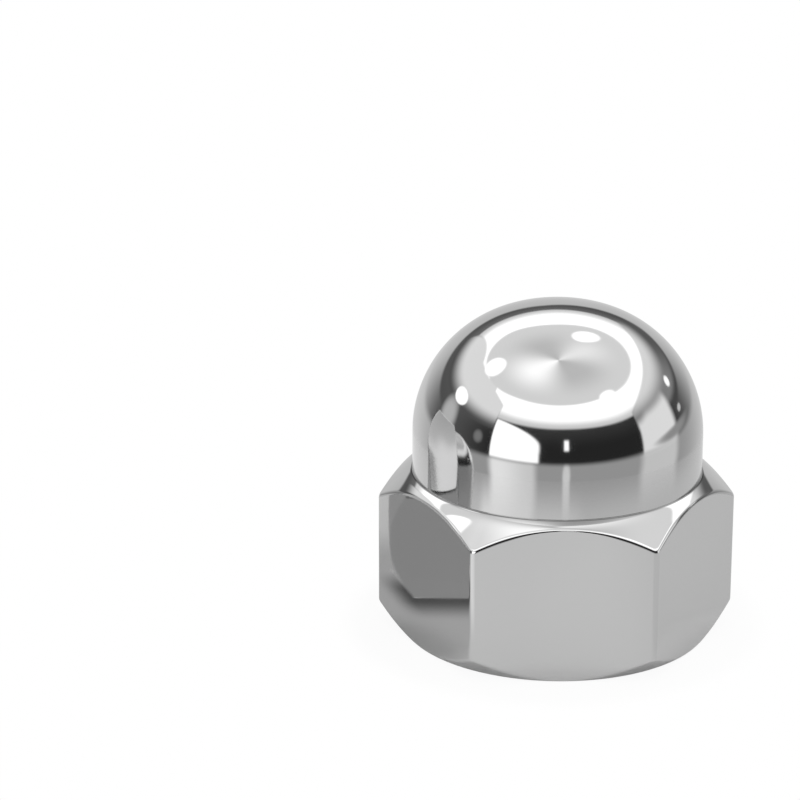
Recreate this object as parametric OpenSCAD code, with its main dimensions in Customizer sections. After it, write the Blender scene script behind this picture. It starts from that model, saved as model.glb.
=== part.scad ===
// Cap nut, also called an acorn or dome nut: a hexagon with a closed dome over a blind threaded hole.
// The axis of the nut is Z, its bearing face lies on Z = 0, and two of its flats face -Y and +Y.
// All sizes are in millimetres.

/* [Hexagon] */
// Width across the flats
flats_w = 13; // [11:0.1:15.5]
// Height of each flat at its middle
flat_h = 6.55; // [5.5:0.05:7.9]
// Depth to which the six upright edges are turned off, along the radius
edge_trim = 0.05; // [0.02:0.01:0.3]
// Slope of the upper chamfer, from the horizontal
top_chamfer_angle = 43; // [30:0.5:50]
// Slope of the lower chamfer, from the horizontal
base_chamfer_angle = 42; // [25:0.5:50]
// Step from the flats in to the edge of the bearing face
bearing_step = 0.05; // [0.05:0.05:0.6]

/* [Dome] */
// Height of the whole nut
nut_h = 14; // [13:0.1:18]
// Step from the flats in to the upright wall of the dome
dome_step = 0.45; // [0.3:0.05:0.8]
// Distance from the axis to the centre of the shoulder's arc
shoulder_offset = 0.65; // [0.3:0.05:1.5]
// How much larger the radius of the crown is than the radius of the dome's wall
crown_extra_r = 1.6; // [0.5:0.1:3]
// Radius of the fillet between the upper chamfer and the dome's wall
foot_fillet_r = 0.25; // [0.1:0.05:0.4]

/* [Thread] */
// Nominal diameter of the screw that the nut takes
thread_d = 8; // [7:0.1:9]
// Pitch of the thread
thread_pitch = 1.25; // [1:0.05:1.5]
// Clearance of the countersink's rim round the screw, on the radius
mouth_clearance = 0.3; // [0.1:0.05:0.6]
// Full angle of the countersink at the mouth
mouth_angle = 120; // [90:5:120]
// Thickness of the crown above the point of the drilled hole
crown_wall = 1.95; // [1.5:0.05:3]
// Point angle of the drill
drill_angle = 118; // [110:1:135]

/* [Hidden] */
$fn = 96;
// Length by which a cutting or trimming shape runs past the face that it passes through
overrun = 1;
// Depth to which an arc sinks into the line or arc that it would only touch, so that the two cross
arc_sink = 0.001;

// Hexagon
flat_r = flats_w / 2;
corner_r = flat_r / cos(30);
bearing_r = flat_r - bearing_step;
rim_r = corner_r - edge_trim;
rim_low_z = (rim_r - bearing_r) * tan(base_chamfer_angle);
rim_high_z = flat_h - (rim_r - flat_r) * tan(top_chamfer_angle);

// Dome: a crown arc about the axis runs without a corner into a shoulder arc, and that into the wall
dome_r = flat_r - dome_step;
crown_r = dome_r + crown_extra_r;
shoulder_r = dome_r - shoulder_offset;
crown_angle = asin(shoulder_offset / (crown_r - shoulder_r));
crown_centre_z = nut_h - crown_r;
shoulder_z = crown_centre_z + arc_sink + (crown_r - shoulder_r) * cos(crown_angle);
// How far the shoulder's arc carries on under the crown's
shoulder_lap_angle = crown_angle / 3;

// Foot of the dome, where its wall would meet the upper chamfer at a sharp corner
foot_z = flat_h + dome_step * tan(top_chamfer_angle);
foot_touch = foot_fillet_r * tan((90 - top_chamfer_angle) / 2);

// Threaded hole: the smooth wall has the minor diameter of a metric thread
bore_r = thread_d / 2 - thread_pitch * cos(30) * 5 / 8;
mouth_r = thread_d / 2 + mouth_clearance;
countersink_h = (mouth_r - bore_r) / tan(mouth_angle / 2);
drill_point_z = nut_h - crown_wall;
bore_top_z = drill_point_z - bore_r / tan(drill_angle / 2);

// A point at a distance from a centre, at an angle turned from straight up towards the outside
function polar(centre, r, angle) = centre + r * [sin(angle), cos(angle)];

// The slice of a disc between two angles from straight up, less than a quarter turn apart
module disc_slice(centre, r, from_angle, to_angle) {
    far = 2 * r;
    intersection() {
        translate(centre)
            circle(r = r);
        polygon([centre, polar(centre, far, from_angle), polar(centre, far, to_angle)]);
    }
}

// Half of the dome's outline, from below its foot up to the top of the crown
module dome_outline() {
    shoulder_centre = [shoulder_offset, shoulder_z];
    crown_centre = [0, crown_centre_z];
    polygon([
        [0, flat_h - overrun],
        [dome_r, flat_h - overrun],
        [dome_r, shoulder_z],
        shoulder_centre,
        polar(crown_centre, crown_r / 2, crown_angle),
        [0, crown_centre_z],
    ]);
    disc_slice(shoulder_centre, shoulder_r, crown_angle - shoulder_lap_angle, 90);
    disc_slice(crown_centre, crown_r, 0, crown_angle);
}

// The hollow corner between the upper chamfer and the dome's wall
module foot_fillet_outline() {
    corner = [dome_r, foot_z];
    on_wall = corner + [0, foot_touch];
    on_chamfer = corner + foot_touch * [cos(top_chamfer_angle), -sin(top_chamfer_angle)];
    centre = on_wall + [foot_fillet_r, 0];
    difference() {
        polygon([
            corner - [foot_touch, foot_touch],
            on_chamfer,
            centre,
            on_wall,
            on_wall - [foot_touch, 0],
        ]);
        translate(centre)
            circle(r = foot_fillet_r + arc_sink);
    }
}

// Half of the outline that a lathe would leave: both chamfers, the trimmed edges, the fillet and the dome
module turned_outline() {
    polygon([
        [0, 0],
        [bearing_r, 0],
        [rim_r, rim_low_z],
        [rim_r, rim_high_z],
        [dome_r, foot_z],
        [0, foot_z],
    ]);
    foot_fillet_outline();
    dome_outline();
}

// The nut's outside: a length of hexagonal bar, turned
module outside() {
    intersection() {
        rotate_extrude()
            turned_outline();
        translate([0, 0, -overrun])
            cylinder(h = nut_h + 2 * overrun, r = corner_r, $fn = 6);
    }
}

// The blind hole: a countersunk mouth, the threaded wall and the drill's point
module threaded_hole() {
    rotate_extrude()
        polygon([
            [0, -overrun],
            [mouth_r, -overrun],
            [mouth_r, 0],
            [bore_r, countersink_h],
            [bore_r, bore_top_z],
            [0, drill_point_z],
        ]);
}

module cap_nut() {
    color("silver")
        difference() {
            outside();
            threaded_hole();
        }
}

cap_nut();
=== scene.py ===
"""A domed cap nut of bright-polished steel, standing on its bearing face in a white studio."""

import math

import bpy
import numpy as np
from mathutils import Euler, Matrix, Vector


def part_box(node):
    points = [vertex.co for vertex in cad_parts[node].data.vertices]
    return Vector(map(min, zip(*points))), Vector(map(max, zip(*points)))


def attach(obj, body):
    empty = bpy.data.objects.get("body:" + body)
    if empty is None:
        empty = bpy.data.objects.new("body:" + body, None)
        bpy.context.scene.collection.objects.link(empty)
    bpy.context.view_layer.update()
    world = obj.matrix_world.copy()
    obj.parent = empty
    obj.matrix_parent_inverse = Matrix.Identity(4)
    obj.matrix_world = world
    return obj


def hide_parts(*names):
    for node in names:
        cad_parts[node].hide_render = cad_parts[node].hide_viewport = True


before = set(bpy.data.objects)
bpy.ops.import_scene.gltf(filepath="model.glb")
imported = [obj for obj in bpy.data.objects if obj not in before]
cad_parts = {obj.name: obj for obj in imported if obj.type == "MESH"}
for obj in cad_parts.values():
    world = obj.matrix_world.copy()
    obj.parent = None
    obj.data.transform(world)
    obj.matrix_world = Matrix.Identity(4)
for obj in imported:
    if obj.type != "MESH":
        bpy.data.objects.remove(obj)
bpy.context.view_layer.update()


# ---- Cap nut -------------------------------------------------------------------------------------
# One piece of steel, turned from hexagon bar: a domed cap over a short hexagon, a chamfer where the two
# meet, and a blind tapped hole from below. It is polished after turning, so every outside edge is rounded
# a little. Nothing is fixed to it: it screws onto the end of a stud until its bearing face is tight.

MM = 0.001
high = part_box("cap_nut")[1]
NUT_H = high.z / MM
FLAT_R = high.y / MM                    # axis to a flat
RIM_R = high.x / MM                     # axis to the rounded upright edges
CORNER_H = 5.69                         # height of the upper chamfer at the upright edges
DOME_STEP = 0.45                        # from a flat in to the dome's upright side
TOP_SLOPES, TOP_BEND = (15, 45.5), 4    # the upper chamfer's slopes from level: at the dome, at the edges
TOP_STRAIGHT = 0.3                      # how far polishing has drawn it to straight lines from dome to edge
BASE_SLOPE = 42
BEARING_STEP = 0.05                     # from a flat in to the bearing face's rim
SHOULDER_OFFSET, SHOULDER_H = 0.65, 8.505    # the shoulder arc's centre: from the axis, above the base
CROWN_EXTRA_R = 1.6                     # the crown's radius above the dome's
CROWN_BLEND = 20                        # the turn over which crown passes into shoulder

TOP_ROUND = (0.42, 0.25)                # the arched edges' radius, softer on the chamfer than on the flat
BASE_ROUND, RIM_ROUND, MOUTH_ROUND = 0.25, 0.08, 0.06    # the other polished edges' radii
FOOT_ROUND = 0.04                       # the hollow where the dome stands on the chamfer
SHORT_CHAMFER = 0.8                     # an upper chamfer shorter than this has its edge rounded less
SHORT_SHARE = 0.45                      # the most that one rounding takes of the chamfer below

THREAD_R, THREAD_PITCH = 4.0, 1.25
MOUTH_R, MOUTH_SLOPE = 4.3, 30
THREAD_FADE = (7.6, 9.5)                # the heights over which the thread runs out
BORE_TOP, DRILL_TOP = 10.053, 12.05     # where the drilled hole's wall ends, and its point
BORE_R = THREAD_R - 0.54127 * THREAD_PITCH
THREAD_EASE = 0.1                       # how far apart thread and countersink start to merge


def columns(round_count, flat_count):
    """Azimuths of the columns, and the hexagon's radius at each as a function.

    A corner is an arc of radius e about a point c from the axis, so at an angle d from the corner the
    radius is c cos d + sqrt(e^2 - (c sin d)^2). Elsewhere it is the flat's distance over the cosine of
    the angle from the flat's middle. Columns lie at even steps of the arc, then at even steps of angle."""
    sharp_r = FLAT_R / math.cos(math.pi / 6)
    edge_round = (sharp_r - RIM_R) / (1 / math.cos(math.pi / 6) - 1)
    centre = sharp_r - edge_round / math.cos(math.pi / 6)
    turn = np.radians(np.linspace(-30, 30, round_count + 1))
    on_arc = np.arctan2(edge_round * np.sin(turn), centre + edge_round * np.cos(turn))
    on_flat = np.linspace(on_arc[-1], math.pi / 3 + on_arc[0], flat_count + 1)[1:-1]
    sector = np.concatenate([on_arc, on_flat])
    azimuth = (sector[None, :] + np.arange(6)[:, None] * math.pi / 3).ravel()

    def hexagon(angle):
        off = np.abs((angle + math.pi / 6) % (math.pi / 3) - math.pi / 6)
        under = np.maximum(edge_round ** 2 - (centre * np.sin(off)) ** 2, 0)
        arc = centre * np.cos(off) + np.sqrt(under)
        return np.where(off < on_arc[-1], arc, FLAT_R / np.cos(math.pi / 6 - off))

    return np.append(azimuth, azimuth[0] + 2 * math.pi), hexagon


def dome_section(count):
    """The dome's section from the pole to its upright side, as radius, height and tangent angle.

    The surface turns from level to upright. Its radius of curvature is the crown's for the first part of
    the turn and the shoulder's for the rest, with a smooth change between them. Radius and height are the
    running sums of curvature radius x cosine and x sine of the turn, and both are scaled to end on the
    dome's own radius and shoulder height. Rows lie at even steps of the turn."""
    dome_r = FLAT_R - DOME_STEP
    shoulder_r = dome_r - SHOULDER_OFFSET
    crown_r = dome_r + CROWN_EXTRA_R
    meet = math.asin(SHOULDER_OFFSET / (crown_r - shoulder_r))
    turn = np.linspace(0, math.pi / 2, 4001)
    t = np.clip((turn - meet) / math.radians(CROWN_BLEND) + 0.5, 0, 1)
    bend = crown_r + (shoulder_r - crown_r) * t * t * (3 - 2 * t)
    step = np.diff(turn)
    across, down = (np.append(0, np.cumsum((f[1:] + f[:-1]) / 2 * step))
                    for f in (bend * np.cos(turn), bend * np.sin(turn)))
    across *= dome_r / across[-1]
    down *= (NUT_H - SHOULDER_H) / down[-1]
    rows = np.linspace(0, math.pi / 2, count)
    return np.interp(rows, turn, across), NUT_H - np.interp(rows, turn, down), -rows


def rounded(corner, into, out, radius, count):
    """A rounded corner of a section, as radius, height and tangent angle, one row for each of even turns.

    The tangent turns from one angle to another while the radius of curvature goes evenly from the first
    value to the second, so the curve is the integral of radius x (cosine, sine) of the tangent. Its start
    is set back from the corner by as much as brings its end onto the straight run after the corner."""
    first, last = (np.asarray(v, float) for v in radius)
    turn = out - into
    t = np.linspace(0, 1, count)[:, None]
    tangent = into + turn * t
    now, gain, side = first + (last - first) * t, (last - first) / turn, np.sign(turn)
    across = side * (now * np.sin(tangent) + gain * np.cos(tangent)
                     - first * np.sin(into) - gain * np.cos(into))
    along = side * (gain * np.sin(tangent) - now * np.cos(tangent)
                    - gain * np.sin(into) + first * np.cos(into))
    back = (across[-1] * np.sin(out) - along[-1] * np.cos(out)) / np.sin(turn)
    rows = (corner[0] - back * np.cos(into) + across, corner[1] - back * np.sin(into) + along, tangent)
    return np.broadcast_arrays(*rows)


def joined(parts, counts):
    """Sections one after the other, with straight rows between each end and the next start."""
    rows = list(parts[:1])
    for before, after, count in zip(parts, parts[1:], counts):
        t = np.linspace(0, 1, count + 2)[1:-1, None]
        run = [before[i][-1] + (after[i][0] - before[i][-1]) * t for i in (0, 1)]
        rows += [(*run, after[2][0] + 0 * t), after]
    width = max(row[0].shape[1] for row in rows)
    return [np.concatenate([np.broadcast_to(row[i], (len(row[i]), width)) for row in rows])
            for i in range(3)]


def chamfer_profile(foot_r):
    """The upper chamfer from the dome's foot out to the upright edges: radii, heights and slopes.

    It is a turned surface, the same all round. Its slope climbs from the first value to the last by
    1 - (1 - t)^bend of the way, with t the share of the distance, so it is crowned most beside the dome.
    The height is the running sum of the slope's tangent, counted from the edges inwards."""
    r = np.linspace(foot_r, RIM_R, 400)
    first, last = np.radians(TOP_SLOPES)
    slope = last - (last - first) * (1 - (r - foot_r) / (RIM_R - foot_r)) ** TOP_BEND
    drop = np.append(0, np.cumsum((np.tan(slope[1:]) + np.tan(slope[:-1])) / 2 * np.diff(r)))
    return r, CORNER_H + drop[-1] - drop, slope


def outside_section(hexagon_r):
    """The outside from the pole down to the countersink's edge, at columns of the given hexagon radius.

    Dome and foot are the same all round. The upper chamfer is its turned profile, drawn part of the way to
    the chord from the foot out to where the rounding of the arched edge takes over. That place is found by
    a few tries, each going most of the way to where the last one's rounding began. The upright and the
    chamfer below follow. The corners are rounded, less where a chamfer is short."""
    dome_r, bearing_r = FLAT_R - DOME_STEP, FLAT_R - BEARING_STEP
    base, upright = math.radians(BASE_SLOPE), math.pi / 2
    first = math.radians(TOP_SLOPES[0])
    foot_cut = FOOT_ROUND * math.tan((upright - first) / 2)
    foot_r = dome_r + foot_cut * math.cos(first)
    chamfer_r, chamfer_z, slopes = chamfer_profile(foot_r)
    foot_z = chamfer_z[0] + foot_cut * math.sin(first)

    soft = np.clip((hexagon_r - foot_r) / SHORT_CHAMFER, 0, 1)
    last_r = hexagon_r - 0.2    # a first guess at where the rounding begins
    for _ in range(6):
        last_z, steep = (np.interp(last_r, chamfer_r, v) for v in (chamfer_z, np.tan(slopes)))
        chord = (chamfer_z[0] - last_z) / (last_r - foot_r)
        steep = steep + TOP_STRAIGHT * (chord - steep)
        crest = (hexagon_r, last_z - (hexagon_r - last_r) * steep)
        edge = rounded(crest, -np.arctan(steep), -upright, [v * soft for v in TOP_ROUND], 16)
        last_r = last_r + 0.7 * (edge[0][0] - last_r)
    t = np.linspace(0, 1, 16)[:, None]
    r = foot_r + (edge[0][0] - foot_r) * t
    turned, steep = (np.interp(r, chamfer_r, v) for v in (chamfer_z, np.tan(slopes)))
    straight = chamfer_z[0] - chord * (r - foot_r)
    chamfer = (r, turned + TOP_STRAIGHT * (straight - turned),
               -np.arctan(steep + TOP_STRAIGHT * (chord - steep)))

    toe_z = (hexagon_r - bearing_r) * math.tan(base)
    slope_run = (hexagon_r - bearing_r) / math.cos(base)
    base_round = np.minimum(BASE_ROUND, SHORT_SHARE * slope_run / math.tan((upright - base) / 2))
    rim_round = np.minimum(RIM_ROUND, SHORT_SHARE * slope_run / math.tan(base / 2))
    return joined([
        [v[:, None] for v in dome_section(100)],
        rounded((dome_r, foot_z), -upright, -first, (FOOT_ROUND, FOOT_ROUND), 10),
        chamfer,
        edge,
        rounded((hexagon_r, toe_z), -upright, base - 2 * upright, (base_round, base_round), 8),
        rounded((bearing_r, 0), base - 2 * upright, -2 * upright, (rim_round, rim_round), 5),
        rounded((MOUTH_R, 0), -2 * upright, -2 * upright - math.radians(MOUTH_SLOPE),
                (MOUTH_ROUND, MOUTH_ROUND), 5),
    ], counts=(5, 0, 0, 9, 6, 5))


def bore_radius(z, azimuth):
    """The tapped hole's radius at a height and azimuth.

    The thread's ridge profile runs along the axis and climbs one pitch each turn, anticlockwise seen from
    above, so it is right-handed: a flat root of an eighth of the pitch at the thread's full radius, flanks
    at 30 degrees from square, and a flat crest at the drilled radius. The thread fades into the drilled
    wall near the top, and the countersink cuts it away at the mouth, where the larger radius of the two
    counts. Where they differ by less than an ease e, (e - difference)^2 / 4e more is taken away."""
    along = (z / THREAD_PITCH - azimuth / (2 * math.pi) + 0.5) % 1 - 0.5
    from_root = np.abs(along) * THREAD_PITCH - THREAD_PITCH / 16
    ridge = np.clip(THREAD_R - np.maximum(from_root, 0) * math.sqrt(3), BORE_R, THREAD_R)
    t = np.clip((z - THREAD_FADE[0]) / (THREAD_FADE[1] - THREAD_FADE[0]), 0, 1)
    ridge = BORE_R + (ridge - BORE_R) * (1 - t * t * (3 - 2 * t))
    sink = MOUTH_R - z / math.tan(math.radians(MOUTH_SLOPE))
    merged = np.maximum(THREAD_EASE - np.abs(ridge - sink), 0) ** 2 / (4 * THREAD_EASE)
    return np.maximum(ridge, sink) + merged


def nut_surface(azimuth, hexagon):
    """The whole closed surface as a grid: one column for each azimuth, and one row for each station from
    the dome's pole down the outside, across the bearing face, up the hole and in to the drill's point.

    Outside, the normal is the cross product of the section's tangent and the change with azimuth. In the
    hole, rows follow the thread's climb, clamped to the hole's ends, and the normal of the surface
    r(z, azimuth) is its downhill direction: (-1, dr / (r d azimuth), dr / dz) in radial, tangential and
    axial parts."""
    tiny = 1e-5    # the step that changes are measured over
    r, z, tangent = outside_section(hexagon(azimuth))
    ahead, behind = (outside_section(hexagon(azimuth + d)) for d in (tiny, -tiny))
    dr, dz = ((ahead[i] - behind[i]) / (2 * tiny) for i in (0, 1))
    tr, tz = np.cos(tangent), np.sin(tangent)
    # cross product (tr, 0, tz) x (dr, r, dz) in radial, tangential and axial parts
    outer = np.stack([-tz * r, tz * dr - tr * dz, tr * r], -1)
    outer[0] = (0, 0, 1)

    # rows of one turn in sixteenths of the pitch: three on the root, then a flank, the crest and a flank
    turn_rows = np.array([-1, 0, 1, 2, 3, 4, 5, 6, 8, 10, 11, 12, 13, 14]) / 16
    turn_rows = np.sort((turn_rows + 1) % 1)
    turns = np.arange(-1, 9)    # enough to pass both ends of the hole
    start = (turns[:, None] + turn_rows[None, :]).ravel() * THREAD_PITCH
    mouth_z = z[-1, 0]
    bore_z = np.clip(start[:, None] + THREAD_PITCH * azimuth[None, :] / (2 * math.pi), mouth_z, BORE_TOP)
    bore_r = bore_radius(bore_z, azimuth)
    by_z = (bore_radius(bore_z + tiny, azimuth) - bore_radius(bore_z - tiny, azimuth)) / (2 * tiny)
    by_turn = (bore_radius(bore_z, azimuth + tiny) - bore_radius(bore_z, azimuth - tiny)) / (2 * tiny)
    inner = np.stack([-np.ones_like(bore_r), by_turn / bore_r, by_z], -1)

    t = np.broadcast_to(np.linspace(0, 1, 6)[1:, None], (5, len(azimuth)))
    point_r, point_z = BORE_R * (1 - t), BORE_TOP + (DRILL_TOP - BORE_TOP) * t
    cone = np.tile((BORE_TOP - DRILL_TOP, 0, -BORE_R), t.shape + (1,))
    cone[-1] = (0, 0, -1)

    r = np.concatenate([r, bore_r, point_r])
    z = np.concatenate([z, bore_z, point_z])
    normal = np.concatenate([outer, inner, cone])
    cos, sin = np.cos(azimuth), np.sin(azimuth)
    points = np.stack([r * cos, r * sin, z], -1)
    normals = np.stack([normal[..., 0] * cos - normal[..., 1] * sin,
                        normal[..., 0] * sin + normal[..., 1] * cos, normal[..., 2]], -1)
    return points, normals / np.linalg.norm(normals, axis=-1, keepdims=True)


def closed_mesh(name, points, normals):
    """A mesh from a grid of points, closed where the grid meets itself.

    Points that fall together, at the seam, the poles and the hole's clamped ends, become one. Each cell
    gives a four-sided face, or a triangle where two of its corners are one, or nothing where it has no
    area. Corners run down a column, then across to the next, which points the faces outwards."""
    rows, cols = points.shape[:2]
    flat = points.reshape(-1, 3)
    key = np.round(flat, 6).astype(np.float64) + 0.0
    _, first, same = np.unique(key, axis=0, return_index=True, return_inverse=True)
    grid = same.reshape(rows, cols)
    cells = np.stack([grid[:-1, :-1], grid[1:, :-1], grid[1:, 1:], grid[:-1, 1:]], -1).reshape(-1, 4)
    repeated = cells == np.roll(cells, -1, axis=1)
    whole = cells[~repeated.any(1) & (cells[:, 0] != cells[:, 2]) & (cells[:, 1] != cells[:, 3])]
    three = repeated.sum(1) == 1
    triangles = cells[three][~repeated[three]].reshape(-1, 3)
    mesh = bpy.data.meshes.new(name)
    mesh.from_pydata((flat[first] * MM).tolist(), [], whole.tolist() + triangles.tolist())
    mesh.polygons.foreach_set("use_smooth", np.ones(len(mesh.polygons), bool))
    mesh.normals_split_custom_set_from_vertices(normals.reshape(-1, 3)[first].tolist())
    return mesh


azimuth, hexagon = columns(round_count=10, flat_count=34)
nut_mesh = closed_mesh("cap_nut_polished", *nut_surface(azimuth, hexagon))
nut = bpy.data.objects.new("cap_nut_polished", nut_mesh)
bpy.context.scene.collection.objects.link(nut)


class Shade:
    """An output socket of a node tree. Operators on it add Math nodes, and make() adds any other node."""

    def __init__(self, tree, socket=None):
        self.tree, self.socket = tree, socket

    def make(self, kind, settings=None, sockets=None, output=0):
        """Adds a node of a type. Its settings, such as a Math node's operation, are set first, and then its
        sockets, by name or number, to values or links. Gives the wanted output."""
        node = self.tree.nodes.new(kind)
        for name, value in (settings or {}).items():
            setattr(node, name, value)
        for name, value in (sockets or {}).items():
            if isinstance(value, Shade):
                self.tree.links.new(value.socket, node.inputs[name])
            else:
                node.inputs[name].default_value = value
        return Shade(self.tree, node.outputs[output] if node.outputs else None)

    def maths(self, operation, *others):
        """A Math node on this value and up to two others."""
        return self.make("ShaderNodeMath", {"operation": operation}, dict(enumerate((self, *others))))

    def blend(self, first, second, share):
        """A colour between two, by a Mix node. Its colours are its sockets 6 and 7, and its output 2."""
        return self.make("ShaderNodeMix", {"data_type": "RGBA"}, {0: share, 6: first, 7: second}, output=2)

    def rise(self, start, end):
        """0 up to start, 1 from end on, and a smooth rise between. It falls where end is below start."""
        return self.make("ShaderNodeMapRange", {"interpolation_type": "SMOOTHSTEP"},
                         {"Value": self, "From Min": start, "From Max": end})

    def __add__(self, other): return self.maths("ADD", other)
    def __sub__(self, other): return self.maths("SUBTRACT", other)
    def __mul__(self, other): return self.maths("MULTIPLY", other)
    def __truediv__(self, other): return self.maths("DIVIDE", other)
    def __pow__(self, other): return self.maths("POWER", other)
    def __neg__(self): return self * -1
    __radd__, __rmul__ = __add__, __mul__

    def __rsub__(self, other):
        return self.make("ShaderNodeMath", {"operation": "SUBTRACT"}, {0: other, 1: self})


def new_shader(name):
    """A material with an empty node tree, and a Shade to build it with."""
    material = bpy.data.materials.new(name)
    material.use_nodes = True
    material.node_tree.nodes.clear()
    return material, Shade(material.node_tree)


# Bright polish over the whole outside, with the faint unevenness that a buffing wheel leaves. The tapped
# hole isn't reached by the wheel and stays satin, and the bearing face keeps its fine turning rings.
STEEL_GREY, STEEL_PALE = (0.55, 0.55, 0.55, 1), (0.57, 0.57, 0.57, 1)
# the second grey on the next line is painted shade, which darkens the crease at the dome's foot
BORE_GREY, CREASE_SHADE_GREY = (0.42, 0.42, 0.42, 1), (0.24, 0.24, 0.24, 1)
BORE_SIDE = (4.36 * MM, 4.24 * MM)      # the polish ends between these distances from the axis
BORE_END = (12.3 * MM, 12.15 * MM)      # and the satin hole between these heights
BEARING_TOP, BEARING_IN = (0.02 * MM, 0.005 * MM), (4.3 * MM, 4.4 * MM)
CREASE_R, CREASE_Z = 6.06 * MM, 6.84 * MM    # the crease at the dome's foot, where the colour is darkened as painted shade
CREASE_SHADE_FADE = (0.07 * MM, 0.03 * MM)
RING_PITCH = 0.09 * MM
BUFFED, BUFFED_MORE = 0.035, 0.03       # roughness of the polish, and how much of it comes and goes
BORE_ROUGH, GRAIN_ROUGH, BEARING_ROUGH = 0.16, 0.1, 0.09
BUFF_DEPTH, GRAIN_DEPTH, RING_DEPTH = 0.00002 * MM, 0.002 * MM, 0.001 * MM

steel, s = new_shader("polished_metal")
place = s.make("ShaderNodeTexCoord", output="Object")
x, y, z = (s.make("ShaderNodeSeparateXYZ", sockets={0: place}, output=i) for i in range(3))
radius = (x * x + y * y) ** 0.5
in_bore = radius.rise(*BORE_SIDE) * z.rise(*BORE_END)
on_bearing = z.rise(*BEARING_TOP) * radius.rise(*BEARING_IN)

buffing, clouds, grain = (
    s.make("ShaderNodeTexNoise", sockets={
        "Vector": place, "Scale": scale, "Detail": detail, "Roughness": rough})
    for scale, detail, rough in ((420, 3, 0.55), (90, 2, 0.5), (2600, 2, 0.6)))
rings = (radius * (2 * math.pi / RING_PITCH)).maths("SINE")
tone = s.blend(STEEL_GREY, STEEL_PALE, clouds.rise(0.35, 0.65))
tone = s.blend(tone, BORE_GREY, in_bore)
from_crease = ((radius - CREASE_R) ** 2 + (z - CREASE_Z) ** 2) ** 0.5
# painted shade: the steel's colour turns dark grey along the crease at the dome's foot, where a shadow line
# falls
tone = s.blend(tone, CREASE_SHADE_GREY, from_crease.rise(*CREASE_SHADE_FADE))
roughness = BUFFED + BUFFED_MORE * buffing.rise(0.3, 0.7)
roughness = roughness + in_bore * (BORE_ROUGH + GRAIN_ROUGH * grain) + on_bearing * BEARING_ROUGH
height = buffing * BUFF_DEPTH + in_bore * grain * GRAIN_DEPTH + on_bearing * rings * RING_DEPTH
bump = s.make("ShaderNodeBump", sockets={"Height": height, "Strength": 1.0, "Distance": 1.0})
metal = s.make("ShaderNodeBsdfPrincipled", sockets={
    "Base Color": tone, "Metallic": 1.0, "Roughness": roughness, "Normal": bump})
s.make("ShaderNodeOutputMaterial", sockets={"Surface": metal})
nut.data.materials.append(steel)

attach(nut, "root")
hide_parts("cap_nut")


# ---- Floor ---------------------------------------------------------------------------------------
# A pale matt table under the nut, lifted to white for the camera but for a faint shadow. It is a round
# sheet that fades out well clear of the nut, and a view from beneath passes through it. In the polish it
# keeps its tones: a patch lit by the window, and shade behind and in the gap to the tipped nut.

FLOOR_DROP = 0.02 * MM                  # a hair below the bearing face, so the two don't share a plane
FLOOR_R, FLOOR_FADE = 31 * MM, (30 * MM, 22.5 * MM)
FLOOR_GREY, SHADE_BLACK = (0.8, 0.8, 0.8, 1), (0, 0, 0, 1)
FILL_NEAR, FILL_FAR = 0.93, 1.0         # how much of the table is lifted to the background's white
FILL_RISE = (8.0 * MM, 9.5 * MM)        # near and far meet here, and hide the shadow further out
FILL_REFLECTED = 0.72                   # the same for the table in the polish
NUT_SHADE = (7.0 * MM, 9.0 * MM)        # but not in the nut's own shade round its base
REFLECTED_LEFT, REFLECTED_RIGHT = 0.86, 0.68    # the table's light in the polish, left and right
SIDES_MEET = (2 * MM, 8 * MM)
PATCH_SPOKES, PATCH_OUT = (-57, -20, 7), (11 * MM, 16 * MM)    # the window's patch: azimuths, how far out
PATCH_LIGHT, PATCH_FALL, PATCH_FALL_SPOKES = 0.45, 0.2, (-50, -22)
SIDE_SHADE, SIDE_SPOKES, BACK_SPOKES = 0.28, (-38, -58), (150, 180)    # the shade at its left and behind
SIDE_OUT = (18 * MM, 14 * MM)
GAP_WAY, GAP_EDGE = (0.881, -0.473), -9.05 * MM    # the way over the gap from the tipped nut, and its start
GAP_SLANT = 0.35                        # the ends of the gap's shade are slanted by this much
CONTACT_SHADE = 0.56                    # the deeper shade where the tipped nut touches the table
CONTACT_NEAR, CONTACT_FAR = (2.6 * MM, 0.2 * MM), (-3.2 * MM, -0.8 * MM)
CONTACT_END = (-3.9 * MM, -5.0 * MM)
CUT_ACROSS = (-3.3 * MM, 0, 0.1 * MM)   # in the polish, the table is open where the tipped nut is sunk
CUT_ALONG = (-10.5 * MM, -5.05 * MM, 0.2 * MM)


def disc(radius, height, rings, spokes):
    """A level round sheet: points at even radii and azimuths, facing up."""
    r = np.linspace(0, radius, rings + 1)[1:, None]
    a = np.linspace(0, 2 * math.pi, spokes, endpoint=False)[None, :]
    points = np.stack([r * np.cos(a), r * np.sin(a), np.full((rings, spokes), height)], -1).reshape(-1, 3)
    grid = np.arange(rings * spokes).reshape(rings, spokes)
    after = np.roll(grid, -1, axis=1)
    cells = np.stack([grid[:-1], grid[1:], after[1:], after[:-1]], -1).reshape(-1, 4)
    middle = np.stack([np.full(spokes, rings * spokes), grid[0], after[0]], -1)
    return np.vstack([points, (0, 0, height)]).tolist(), cells.tolist() + middle.tolist()


def between(value, start, end, soft):
    """1 between two values, with edges that fade over soft."""
    return value.rise(start - soft / 2, start + soft / 2) * value.rise(end + soft / 2, end - soft / 2)


floor_mesh = bpy.data.meshes.new("floor")
points, faces = disc(FLOOR_R, -FLOOR_DROP, 6, 96)
floor_mesh.from_pydata(points, [], faces)
floor = bpy.data.objects.new("floor", floor_mesh)
bpy.context.scene.collection.objects.link(floor)

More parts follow.
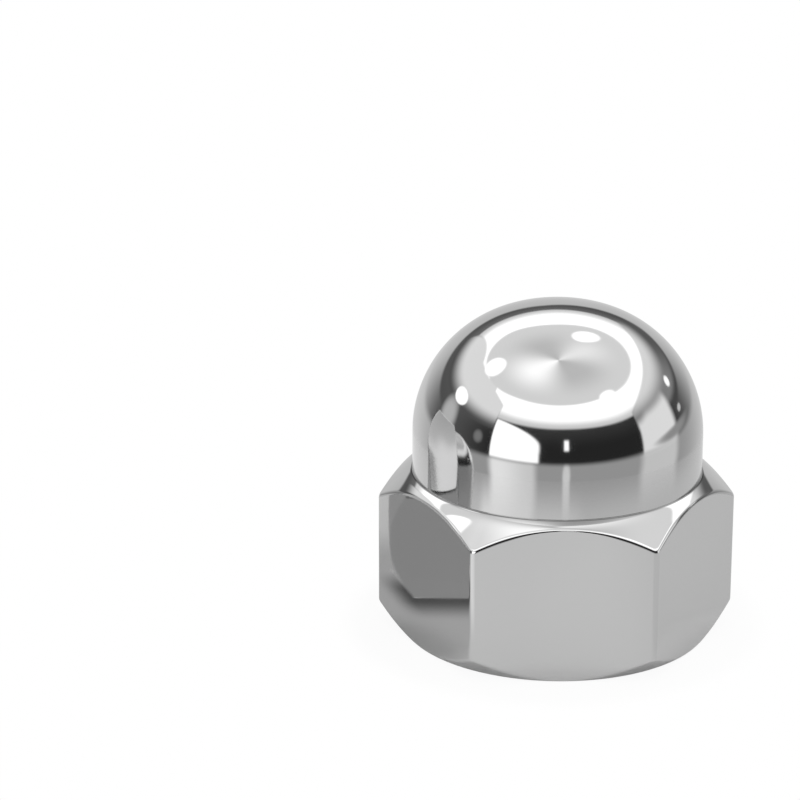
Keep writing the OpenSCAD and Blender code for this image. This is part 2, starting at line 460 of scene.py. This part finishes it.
table, s = new_shader("pale_table")
place = s.make("ShaderNodeTexCoord", output="Object")
out = s.make("ShaderNodeVectorMath", {"operation": "LENGTH"}, {0: place}, output="Value")
seen = s.make("ShaderNodeLightPath", output="Is Camera Ray")
reflected = s.make("ShaderNodeLightPath", output="Is Glossy Ray").maths(
    "MAXIMUM", s.make("ShaderNodeLightPath", output="Is Transmission Ray"))
fill = seen * (FILL_NEAR + out.rise(*FILL_RISE) * (FILL_FAR - FILL_NEAR))
fill = fill.maths("MAXIMUM", reflected * FILL_REFLECTED * out.rise(*NUT_SHADE))

x, y = (s.make("ShaderNodeSeparateXYZ", sockets={0: place}, output=i) for i in (0, 1))
spoke = x.maths("ARCTAN2", -y) * (180 / math.pi)    # 0 in front of the nut, and -90 to its left
across = x * GAP_WAY[0] + y * GAP_WAY[1] - GAP_EDGE    # over the gap, from its start
along = y * GAP_WAY[0] - x * GAP_WAY[1] + across * GAP_SLANT
contact = across.rise(*CONTACT_NEAR) * across.rise(*CONTACT_FAR) * along.rise(*CONTACT_END)
shade = (spoke.rise(*SIDE_SPOKES) + spoke.rise(*BACK_SPOKES)) * out.rise(*SIDE_OUT)
level = 1 - reflected * shade * (SIDE_SHADE + CONTACT_SHADE * contact)

patch = between(spoke, *PATCH_SPOKES) * out.rise(*PATCH_OUT)
glow = REFLECTED_LEFT + x.rise(*SIDES_MEET) * (REFLECTED_RIGHT - REFLECTED_LEFT)
glow = glow + patch * (PATCH_LIGHT - spoke.rise(*PATCH_FALL_SPOKES) * PATCH_FALL)

below = s.make("ShaderNodeNewGeometry", output="Backfacing")
below = (below + s.make("ShaderNodeLightPath", output="Transparent Depth")).maths("MINIMUM", 1)
second = s.make("ShaderNodeLightPath", output="Glossy Depth").rise(1.4, 1.6)    # seen by way of two mirrors
there = out.rise(*FLOOR_FADE) * (1 - below) * (1 - second)
there = there * (1 - reflected * between(across, *CUT_ACROSS) * between(along, *CUT_ALONG))

sheet = s.make("ShaderNodeBsdfDiffuse", sockets={"Color": s.blend(SHADE_BLACK, FLOOR_GREY, level)})
white = s.make("ShaderNodeEmission", sockets={"Strength": (glow + seen * (1 - glow)) * level})
lifted = s.make("ShaderNodeMixShader", sockets={"Fac": fill, 1: sheet, 2: white})
clear = s.make("ShaderNodeBsdfTransparent")
s.make("ShaderNodeOutputMaterial", sockets={
    "Surface": s.make("ShaderNodeMixShader", sockets={"Fac": there, 1: clear, 2: lifted})})
floor.data.materials.append(table)


# ---- Tipped nut ----------------------------------------------------------------------------------
# A second nut of the same kind lies on one flat, close at the left. It belongs to the studio: the camera
# doesn't see it, and it is there for what the polish of the left flat and the dome shows of it. It is a
# copy a little under size, sunk in the table so that only its upper part is mirrored.

TIPPED_SIZE = 0.95
TIPPED_AT = (-15.9 * MM, 3.3 * MM, 4.95 * MM)
TIPPED_TURN, TIPPED_LEAN = math.radians(-22), math.radians(-1.75)
TIPPED_GREY, TIPPED_ROUGH = (0.6, 0.6, 0.6, 1), 0.2

tipped = bpy.data.objects.new("tipped_nut", nut_mesh.copy())
bpy.context.scene.collection.objects.link(tipped)
tipped.location, tipped.scale = TIPPED_AT, (TIPPED_SIZE,) * 3
tipped.rotation_euler = (math.pi / 2 - TIPPED_LEAN, 0, TIPPED_TURN)
bright, s = new_shader("tipped_polish")
s.make("ShaderNodeOutputMaterial", sockets={"Surface": s.make("ShaderNodeBsdfPrincipled", sockets={
    "Base Color": TIPPED_GREY, "Metallic": 1.0, "Roughness": TIPPED_ROUGH})})
tipped.data.materials.clear()
tipped.data.materials.append(bright)
tipped.visible_camera = tipped.visible_transmission = False


# ---- Studio --------------------------------------------------------------------------------------
# A photographer's light tent, drawn on the sky: a round ceiling diffuser, a bright ring light under it,
# dark walls with a window-shaped softbox and a side panel, a few lamps, and the lit table falling away
# below. Places are azimuths and elevations in degrees. Bare white stands behind the nut for the camera.

BRIGHT = 1.96                           # window, ring light and lamps: past white even in the polish
TABLE_LIGHT, TABLE_BEHIND, TABLE_LEFT, TABLE_RIGHT = 0.5, 0.22, 0.1, 0.42    # what its parts add
TABLE_FRONT, TABLE_FRONT_FALL = 1.33, 0.33    # the part that the window lights, and its fall to the right
TABLE_LAMP, TABLE_UNDER = 0.5, 0.64     # the lamp's streak on it, and the table close under the nut
WALL, WALL_LEFT, WALL_BACK, WALL_RIGHT, WALL_TOP = 0.03, 0.07, 0.03, 0.07, 0.03
WALL_FAR, WALL_FAR_TOP = 0.62, 0.06     # the pale dado of the far wall, and the wall over it
LEFT_WALL_LIGHT, LEFT_WALL_FALL = 1.22, 1.09    # lit from the ring, and how much less at the foot
RIGHT_WALL_LIGHT, RIGHT_WALL_FALL, RIGHT_WALL_BACK = 1.17, 0.82, 0.2
PANEL_LIGHT = 1.24
RING_FALL = 0.9                         # how much less the ring gives at its foot
CEILING_EDGE, CEILING_CENTRE = 1.13, 0.86
CEILING_DROP = 1.7                      # its rim reaches this much lower at both sides
CEILING_LOBES = ((-62, 2, 0.98), (129, 4, 0.58))    # its brighter sides: azimuth, power, light

# the left wall's ovals: middle, half sizes and softness of the edge
LEFT_WALL = ((-97, 20, 52, 24.3, 0.04), (-123, 20, 30, 22.8, 0.04), (-85, 40, 10, 7.5, 0.1))
# lamps and their glows, later ones over earlier ones: the same, and their light
LAMPS = (
    (-104, 8, 7.5, 9, 0.6, 0.75), (-105, 51, 13, 7.3, 0.12, BRIGHT), (-101, 22.5, 8.6, 4.9, 0.12, BRIGHT),
    (155, 57.5, 11.5, 7, 0.12, BRIGHT), (54, 46.4, 10, 4, 0.2, BRIGHT), (119, 18, 3.3, 2.4, 0.3, 1.8),
    (115, 4.5, 2.4, 1.5, 0.5, 0.85), (-69, 7, 3, 3.4, 0.8, 0.3), (101, -2.2, 16, 2.4, 0.7, 0.44))

studio = bpy.data.worlds.new("studio")
bpy.context.scene.world = studio
studio.use_nodes = True
studio.node_tree.nodes.clear()
s = Shade(studio.node_tree)
toward = s.make("ShaderNodeTexCoord", output="Generated")
x, y, z = (s.make("ShaderNodeSeparateXYZ", sockets={0: toward}, output=i) for i in range(3))
DEGREE = 180 / math.pi
az = x.maths("ARCTAN2", -y) * DEGREE    # 0 in front of the nut, 90 to its right, 180 behind it
el = z.maths("ARCSINE") * DEGREE
aside = az.maths("ABSOLUTE")


def over(under, mask, top):
    """The lower layer, with the top one in its place as far as the mask says."""
    return under + mask * (top - under)


def oval(az_centre, el_centre, half_az, half_el, soft):
    """1 inside an upright ellipse of azimuth and elevation, with an edge that fades over a share of it."""
    across, up = (az - az_centre) / half_az, (el - el_centre) / half_el
    return (across * across + up * up).rise((1 + soft) ** 2, (1 - soft) ** 2)


def either(first, *others):
    """The larger of some masks at each place."""
    for other in others:
        first = first.maths("MAXIMUM", other)
    return first


def lobe(az_centre, power):
    """A soft bump round an azimuth: its cosine to a power, and 0 on the far side."""
    return ((az - az_centre) / DEGREE).maths("COSINE").maths("MAXIMUM", 0) ** power


# the table beyond the floor: paler behind and to both sides, brightest where the window lights it
table_light = TABLE_LIGHT + aside.rise(105, 150) * TABLE_BEHIND + between(az, 66, 104, 9) * TABLE_RIGHT
table_light = table_light + az.rise(-90, -120) * az.rise(-180, -150) * TABLE_LEFT
front_light = TABLE_FRONT - az.rise(-50, -22) * TABLE_FRONT_FALL
table_light = over(table_light, between(az, -56.5, -20, 7), front_light)
table_light = table_light + oval(4, -16, 2.6, 11, 0.5) * TABLE_LAMP
table_light = over(table_light, el.rise(-22, -45), TABLE_UNDER)

# dark walls between the table and the ring, with a pale dado that rises towards the far side
dado = (el - aside * 0.16).rise(-9.8, -13.3)
wall = WALL + az.rise(-50, -100) * (WALL_LEFT + az.rise(-180, -150) * WALL_BACK)
wall = wall + az.rise(102, 112) * WALL_RIGHT
wall = wall + aside.rise(110, 160) * (WALL_FAR * dado + WALL_FAR_TOP * el.rise(17, 25))
wall = wall + el.rise(8, 26) * WALL_TOP

# upper walls that fade down from the ring, left and right
left_wall = either(*(oval(*shape) for shape in LEFT_WALL)) * az.rise(-57, -58.5)
right_wall = oval(112, 14, 54, 22.3, 0.05) * az.rise(65, 67) * az.rise(164, 154)

# the window, square below and with one rounded shoulder, and the side panel with its slanted top
window = either(oval(-56, 7, 40, 18.2, 0.05), between(az, -56, -17, 3) * el.rise(9, 6))
window = window * az.rise(-57.4, -56.2) * az.rise(-15, -19) * el.rise(-6, -3)
panel = (el + az.rise(80, 68) * 3).rise(24.5, 16) * el.rise(-9, -3)
panel = panel * az.rise(65.8, 68.6) * az.rise(108, 101)

# the ring light, which hangs lower on the right, and the ceiling, brighter towards its lobes
lean = az.rise(0, 60) * az.rise(165, 125)
ring = BRIGHT - (el + lean * 2.2).rise(34.5, 27.5) * RING_FALL
ring_foot = (el + lean * 1.8).rise(24.6, 27.2)
conical = CEILING_CENTRE
for az_centre, power, strength in CEILING_LOBES:
    conical = conical + lobe(az_centre, power) * strength
ceiling = over(CEILING_EDGE, el.rise(50, 73), conical)
sides_drop = aside.rise(40, 85) * aside.rise(180, 155) * CEILING_DROP

left_light = LEFT_WALL_LIGHT - el.rise(29.5, 17.5) * LEFT_WALL_FALL
right_light = RIGHT_WALL_LIGHT - el.rise(33, 19) * (RIGHT_WALL_FALL + az.rise(118, 150) * RIGHT_WALL_BACK)
light = over(wall, el.rise(-2.5, -8), table_light)
light = over(light, left_wall * el.rise(15, 18), left_light)
light = over(light, right_wall * el.rise(10, 15), right_light)
light = over(light, ring_foot * (1 - left_wall) * (1 - right_wall), ring)
light = over(light, panel, PANEL_LIGHT)
light = over(light, window, BRIGHT)
light = over(light, between(az, 2.2, 5.8, 1.5) * between(el, 7, 16, 3), BRIGHT)    # the tall lamp in front
light = over(light, (el + sides_drop).rise(45.9, 47.5), ceiling)
for *shape, strength in LAMPS:
    light = over(light, oval(*shape), strength)

camera_ray = s.make("ShaderNodeLightPath", output="Is Camera Ray")
shown = s.make("ShaderNodeBackground", sockets={
    "Color": (1, 1, 1, 1), "Strength": over(light, camera_ray, 1.0)})
s.make("ShaderNodeOutputWorld", sockets={"Surface": shown})


# ---- Camera --------------------------------------------------------------------------------------
# A long lens that looks down from a little above the dome, square to the front flat. The nut stands to
# the right of the middle and a little below it.

CAMERA_PITCH, CAMERA_TURN = 19.265, -0.357    # degrees down from level, and round the nut
NUT_RIGHT, NUT_DOWN, NUT_AWAY = 6.564 * MM, 9.317 * MM, 139.13 * MM    # the base's middle, from the lens
FOCAL_LENGTH, SENSOR_WIDTH = 147.2, 36

lens = bpy.data.cameras.new("camera")
lens.lens, lens.sensor_width, lens.clip_start = FOCAL_LENGTH, SENSOR_WIDTH, 10 * MM
camera = bpy.data.objects.new("camera", lens)
bpy.context.scene.collection.objects.link(camera)
camera.rotation_euler = Euler((math.radians(90 - CAMERA_PITCH), 0, math.radians(CAMERA_TURN)))
to_right, to_top, to_back = camera.rotation_euler.to_matrix().transposed()
camera.location = to_back * NUT_AWAY + to_top * NUT_DOWN - to_right * NUT_RIGHT
bpy.context.scene.camera = camera
bpy.context.scene.view_settings.view_transform = "Standard"
